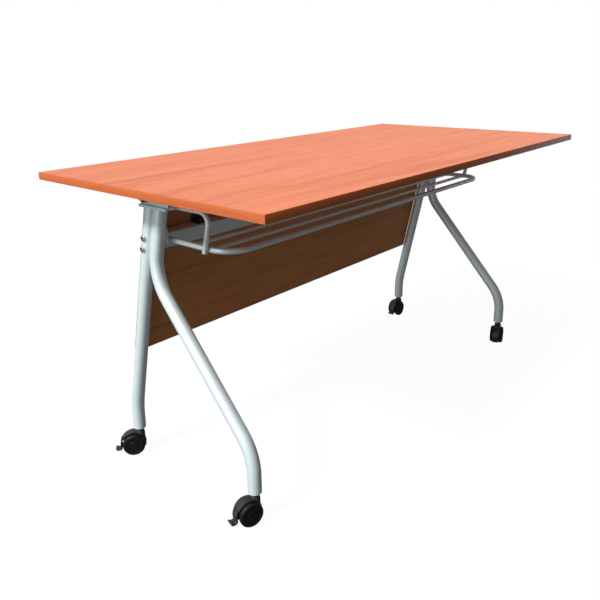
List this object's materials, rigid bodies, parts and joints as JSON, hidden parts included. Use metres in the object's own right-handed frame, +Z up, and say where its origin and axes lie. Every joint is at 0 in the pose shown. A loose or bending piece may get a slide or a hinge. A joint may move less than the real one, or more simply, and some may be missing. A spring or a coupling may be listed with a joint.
{
  "type": "mobile folding table",
  "caption": "Flip-top training table on bent Y-shaped tube legs with braked swivel casters, a book rack and a modesty panel.",
  "frame": {"origin": "on the floor under the middle of the top", "axes": "+X along the length, -Y towards the user, +Z up"},
  "size_m": [1.5, 0.75, 0.75],
  "materials": {
    "cherry_laminate": "satin cherry laminate",
    "edge_band": "satin edge band",
    "dark_laminate": "satin dark laminate",
    "silver_paint": "silver grey powder coat",
    "black_steel": "black powder coat",
    "black_plastic": "moulded black",
    "wheel_plastic": "moulded black tread",
    "rubber": "matte",
    "zinc_steel": "zinc plated"
  },
  "bodies": {
    "frame": {"beam_plugs": "zinc_steel", "beam_saddles": "silver_paint", "beam_bolts": "zinc_steel", "leg_tube_rear_left": "silver_paint", "leg_tube_front_left": "silver_paint", "leg_tube_rear_right": "silver_paint", "leg_tube_front_right": "silver_paint", "leg_head_left": "silver_paint", "leg_head_right": "silver_paint", "pivot_bushes": "black_plastic", "pivot_washers": "black_plastic", "catch_pins": "zinc_steel", "bumper_pads": "rubber", "panel_edge_bands": "dark_laminate", "modesty_panel": "dark_laminate", "panel_angles": "black_steel", "angle_bolts": "zinc_steel", "panel_screws": "zinc_steel", "cross_beam": "silver_paint", "rack_tube": "silver_paint", "rack_rods": "silver_paint", "rack_guard_left": "silver_paint", "rack_guard_right": "silver_paint", "caster_sockets": "black_plastic", "caster_stems": "zinc_steel"},
    "top": {"top_edge_bands": "edge_band", "flip_bracket_left": "black_steel", "flip_bracket_right": "black_steel", "table_top": "cherry_laminate", "bracket_screws": "zinc_steel", "pivot_bolts": "zinc_steel", "pivot_nuts": "zinc_steel", "latch_pins": "zinc_steel", "latch_springs": "zinc_steel"},
    "latch_left": {"latch_lever_left": "zinc_steel", "latch_grip_left": "black_plastic"},
    "latch_right": {"latch_lever_right": "zinc_steel", "latch_grip_right": "black_plastic"},
    "caster_front_left": {"caster_hood_front_left": "black_plastic", "caster_axle_front_left": "zinc_steel"},
    "wheel_front_left_a": {"caster_wheel_front_left_a": "wheel_plastic"},
    "wheel_front_left_b": {"caster_wheel_front_left_b": "wheel_plastic"},
    "pedal_front_left": {"caster_pedal_front_left": "black_plastic"},
    "caster_front_right": {"caster_hood_front_right": "black_plastic", "caster_axle_front_right": "zinc_steel"},
    "wheel_front_right_a": {"caster_wheel_front_right_a": "wheel_plastic"},
    "wheel_front_right_b": {"caster_wheel_front_right_b": "wheel_plastic"},
    "pedal_front_right": {"caster_pedal_front_right": "black_plastic"},
    "caster_rear_left": {"caster_hood_rear_left": "black_plastic", "caster_axle_rear_left": "zinc_steel"},
    "wheel_rear_left_a": {"caster_wheel_rear_left_a": "wheel_plastic"},
    "wheel_rear_left_b": {"caster_wheel_rear_left_b": "wheel_plastic"},
    "pedal_rear_left": {"caster_pedal_rear_left": "black_plastic"},
    "caster_rear_right": {"caster_hood_rear_right": "black_plastic", "caster_axle_rear_right": "zinc_steel"},
    "wheel_rear_right_a": {"caster_wheel_rear_right_a": "wheel_plastic"},
    "wheel_rear_right_b": {"caster_wheel_rear_right_b": "wheel_plastic"},
    "pedal_rear_right": {"caster_pedal_rear_right": "black_plastic"}
  },
  "joints": [
    {"name": "top_flip", "type": "hinge", "parent": "frame", "child": "top", "pos_m": [0, 0.0986, 0.708], "axis": [-1, 0, 0], "range_deg": [0, 77.56]},
    {"name": "latch_left", "type": "hinge", "parent": "top", "child": "latch_left", "pos_m": [-0.639, 0.0226, 0.721], "axis": [1, 0, 0], "range_deg": [0, 20], "stiffness_Nm_per_rad": 0.4, "springref_deg": 30},
    {"name": "latch_right", "type": "hinge", "parent": "top", "child": "latch_right", "pos_m": [0.639, 0.0226, 0.721], "axis": [1, 0, 0], "range_deg": [0, 20], "stiffness_Nm_per_rad": 0.4, "springref_deg": 30},
    {"name": "swivel_front_left", "type": "hinge", "parent": "frame", "child": "caster_front_left", "pos_m": [-0.639, -0.2165, 0.073], "axis": [0, 0, 1], "continuous": true},
    {"name": "roll_front_left_a", "type": "hinge", "parent": "caster_front_left", "child": "wheel_front_left_a", "pos_m": [-0.65612, -0.21094, 0.029], "axis": [-0.309, -0.9511, 0], "continuous": true},
    {"name": "roll_front_left_b", "type": "hinge", "parent": "caster_front_left", "child": "wheel_front_left_b", "pos_m": [-0.65612, -0.21094, 0.029], "axis": [-0.309, -0.9511, 0], "continuous": true},
    {"name": "brake_front_left", "type": "hinge", "parent": "caster_front_left", "child": "pedal_front_left", "pos_m": [-0.67966, -0.20329, 0.02552], "axis": [-0.309, -0.9511, 0], "range_deg": [0, 15]},
    {"name": "swivel_front_right", "type": "hinge", "parent": "frame", "child": "caster_front_right", "pos_m": [0.639, -0.2165, 0.073], "axis": [0, 0, 1], "continuous": true},
    {"name": "roll_front_right_a", "type": "hinge", "parent": "caster_front_right", "child": "wheel_front_right_a", "pos_m": [0.62188, -0.22206, 0.029], "axis": [0.309, -0.9511, 0], "continuous": true},
    {"name": "roll_front_right_b", "type": "hinge", "parent": "caster_front_right", "child": "wheel_front_right_b", "pos_m": [0.62188, -0.22206, 0.029], "axis": [0.309, -0.9511, 0], "continuous": true},
    {"name": "brake_front_right", "type": "hinge", "parent": "caster_front_right", "child": "pedal_front_right", "pos_m": [0.59834, -0.22971, 0.02552], "axis": [0.309, -0.9511, 0], "range_deg": [0, 15]},
    {"name": "swivel_rear_left", "type": "hinge", "parent": "frame", "child": "caster_rear_left", "pos_m": [-0.639, 0.207, 0.073], "axis": [0, 0, 1], "continuous": true},
    {"name": "roll_rear_left_a", "type": "hinge", "parent": "caster_rear_left", "child": "wheel_rear_left_a", "pos_m": [-0.65338, 0.21783, 0.029], "axis": [-0.6018, -0.7986, 0], "continuous": true},
    {"name": "roll_rear_left_b", "type": "hinge", "parent": "caster_rear_left", "child": "wheel_rear_left_b", "pos_m": [-0.65338, 0.21783, 0.029], "axis": [-0.6018, -0.7986, 0], "continuous": true},
    {"name": "brake_rear_left", "type": "hinge", "parent": "caster_rear_left", "child": "pedal_rear_left", "pos_m": [-0.67315, 0.23273, 0.02552], "axis": [-0.6018, -0.7986, 0], "range_deg": [0, 15]},
    {"name": "swivel_rear_right", "type": "hinge", "parent": "frame", "child": "caster_rear_right", "pos_m": [0.639, 0.207, 0.073], "axis": [0, 0, 1], "continuous": true},
    {"name": "roll_rear_right_a", "type": "hinge", "parent": "caster_rear_right", "child": "wheel_rear_right_a", "pos_m": [0.62103, 0.20606, 0.029], "axis": [0.0523, -0.9986, 0], "continuous": true},
    {"name": "roll_rear_right_b", "type": "hinge", "parent": "caster_rear_right", "child": "wheel_rear_right_b", "pos_m": [0.62103, 0.20606, 0.029], "axis": [0.0523, -0.9986, 0], "continuous": true},
    {"name": "brake_rear_right", "type": "hinge", "parent": "caster_rear_right", "child": "pedal_rear_right", "pos_m": [0.5963, 0.20476, 0.02552], "axis": [0.0523, -0.9986, 0], "range_deg": [0, 15]}
  ]
}
